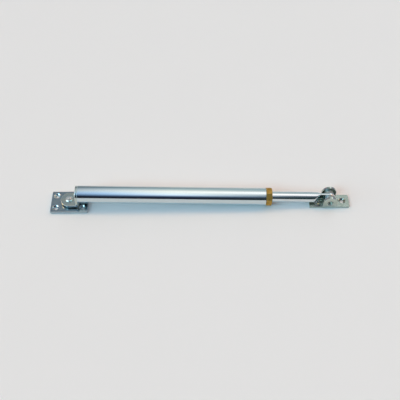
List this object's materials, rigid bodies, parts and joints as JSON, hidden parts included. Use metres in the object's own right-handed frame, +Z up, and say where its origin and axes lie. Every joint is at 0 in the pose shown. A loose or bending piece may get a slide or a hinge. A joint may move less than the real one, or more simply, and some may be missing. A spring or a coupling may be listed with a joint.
{
  "type": "telescopic friction door stay",
  "caption": "Telescopic friction stay for a door or casement: swivelling tube on a screw-on base plate, sliding rod with flattened eye, brass gland nut and pivoting door bracket.",
  "frame": {"origin": "underside of the base plate, on the axis of the swivel rivet", "axes": "+X along the stay from the base plate to the door bracket, +Z up out of the base plate, +Y to the left of +X"},
  "size_m": [0.3437, 0.03, 0.0265],
  "materials": {
    "plate_steel": "zinc-plated sheet steel, bluish passivated",
    "bracket_steel": "zinc-plated sheet steel, pale yellowish passivated",
    "door_steel": "zinc-plated sheet steel, greenish grey",
    "rivet_steel": "zinc-plated rivet steel",
    "washer_steel": "zinc-plated steel",
    "plug_steel": "turned steel, plated",
    "inner_steel": "plain steel",
    "tube_chrome": "polished plated tube",
    "rod_chrome": "polished plated rod",
    "brass": "turned brass, slightly aged",
    "nylon": "natural nylon",
    "buffer_rubber": "black rubber"
  },
  "bodies": {
    "base": {"base_plate": "plate_steel", "swivel_rivet": "rivet_steel", "swivel_washer": "washer_steel"},
    "tube": {"swivel_bracket": "bracket_steel", "end_plug": "plug_steel", "outer_tube": "tube_chrome", "closing_buffer": "buffer_rubber", "seat_ring": "inner_steel", "friction_bush": "nylon"},
    "brake_ring": {"pressure_ring": "inner_steel"},
    "nut": {"gland_nut": "brass"},
    "guide": {"piston": "nylon"},
    "rod": {"rod": "rod_chrome", "rod_plug": "plug_steel"},
    "door": {"door_bracket": "door_steel", "pivot_pin": "rivet_steel", "pivot_spacers": "washer_steel"}
  },
  "joints": [
    {"name": "swivel", "type": "hinge", "parent": "base", "child": "tube", "pos_m": [0, 0, 0.0048], "axis": [0, 0, 1], "continuous": true},
    {"name": "brake_feed", "type": "slide", "parent": "tube", "child": "brake_ring", "axis": [0.9996, 0, -0.0271], "range_m": [0, 0.001]},
    {"name": "nut_turn", "type": "hinge", "parent": "brake_ring", "child": "nut", "pos_m": [0.22542, 0, 0.01071], "axis": [0.9996, 0, -0.0271], "range_deg": [0, 360]},
    {"name": "rod_slide", "type": "slide", "parent": "tube", "child": "guide", "axis": [0.9996, 0, -0.0271], "range_m": [0, 0.1604]},
    {"name": "rod_turn", "type": "hinge", "parent": "guide", "child": "rod", "pos_m": [0.03869, 0, 0.01578], "axis": [0.9996, 0, -0.0271], "continuous": true},
    {"name": "door_pivot", "type": "hinge", "parent": "rod", "child": "door", "pos_m": [0.29929, 0, 0.0087], "axis": [0, -1, 0], "range_deg": [0, 176]}
  ],
  "couplings": [
    {"joint": "nut_turn", "follows": "brake_feed", "rad_per_m": 6283.2}
  ]
}
